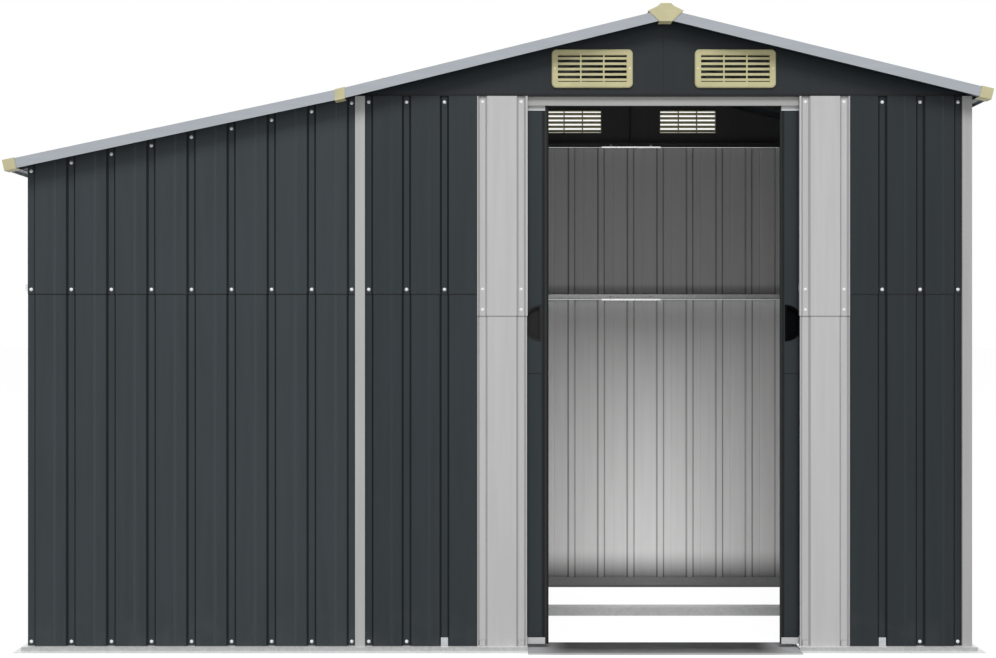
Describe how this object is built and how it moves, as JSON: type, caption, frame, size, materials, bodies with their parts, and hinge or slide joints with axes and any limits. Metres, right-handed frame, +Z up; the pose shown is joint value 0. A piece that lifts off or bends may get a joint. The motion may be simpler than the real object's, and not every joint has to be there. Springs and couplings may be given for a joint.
{
  "type": "metal storage shed with lean-to",
  "caption": "Sheet-steel garden shed with a pitched roof, sliding double doors and an open-ended lean-to shelter on one side.",
  "frame": {"origin": "centre of the bounding box, on the ground the base frame rests on", "axes": "+X to the right seen from the doors, +Y from the doors to the back wall, +Z up"},
  "size_m": [2.758, 1.105, 1.8135],
  "materials": {
    "anthracite": "satin dark grey paint on thin sheet steel",
    "light_grey": "satin light grey paint on folded sheet steel",
    "galvanised": "dull galvanised steel",
    "sill_grey": "worn mid-grey paint on folded steel",
    "cream_plastic": "matt moulded plastic",
    "black_plastic": "matt moulded plastic"
  },
  "bodies": {
    "shed": {"back_gable": "anthracite", "back_mid_rails": "galvanised", "back_roof_trims": "light_grey", "back_top_rails": "galvanised", "back_vents": "cream_plastic", "back_wall_lean_to": "anthracite", "back_wall_main": "anthracite", "base_back_rail": "galvanised", "base_cross_bar": "galvanised", "base_front_rails": "galvanised", "base_side_rails": "galvanised", "corner_posts": "light_grey", "divider_wall": "anthracite", "door_sill": "sill_grey", "door_track": "light_grey", "eave_beam": "galvanised", "eave_trims": "light_grey", "front_gable": "anthracite", "front_mid_rails": "galvanised", "front_roof_trims": "light_grey", "front_vents": "cream_plastic", "front_wall_lean_to": "anthracite", "front_wall_left": "anthracite", "front_wall_right": "anthracite", "jamb_panel_left": "light_grey", "jamb_panel_right": "light_grey", "junction_posts": "light_grey", "lean_to_rafters": "galvanised", "lean_to_studs": "galvanised", "rail_splices": "galvanised", "ridge_beam": "galvanised", "ridge_caps": "cream_plastic", "right_wall": "anthracite", "roof_covers": "anthracite", "roof_lean_to": "anthracite", "roof_left": "anthracite", "roof_right": "anthracite", "side_mid_rails": "galvanised", "side_top_rails": "galvanised", "trim_caps": "cream_plastic"},
    "door_left": {"door_left_panel": "anthracite", "door_left_channels": "light_grey", "door_left_handle": "black_plastic", "door_left_seal": "black_plastic"},
    "door_right": {"door_right_panel": "anthracite", "door_right_channels": "light_grey", "door_right_handle": "black_plastic", "door_right_seal": "black_plastic"}
  },
  "joints": [
    {"name": "door_left_slide", "type": "slide", "parent": "shed", "child": "door_left", "axis": [1, 0, 0], "range_m": [0, 0.32]},
    {"name": "door_right_slide", "type": "slide", "parent": "shed", "child": "door_right", "axis": [-1, 0, 0], "range_m": [0, 0.33]}
  ]
}
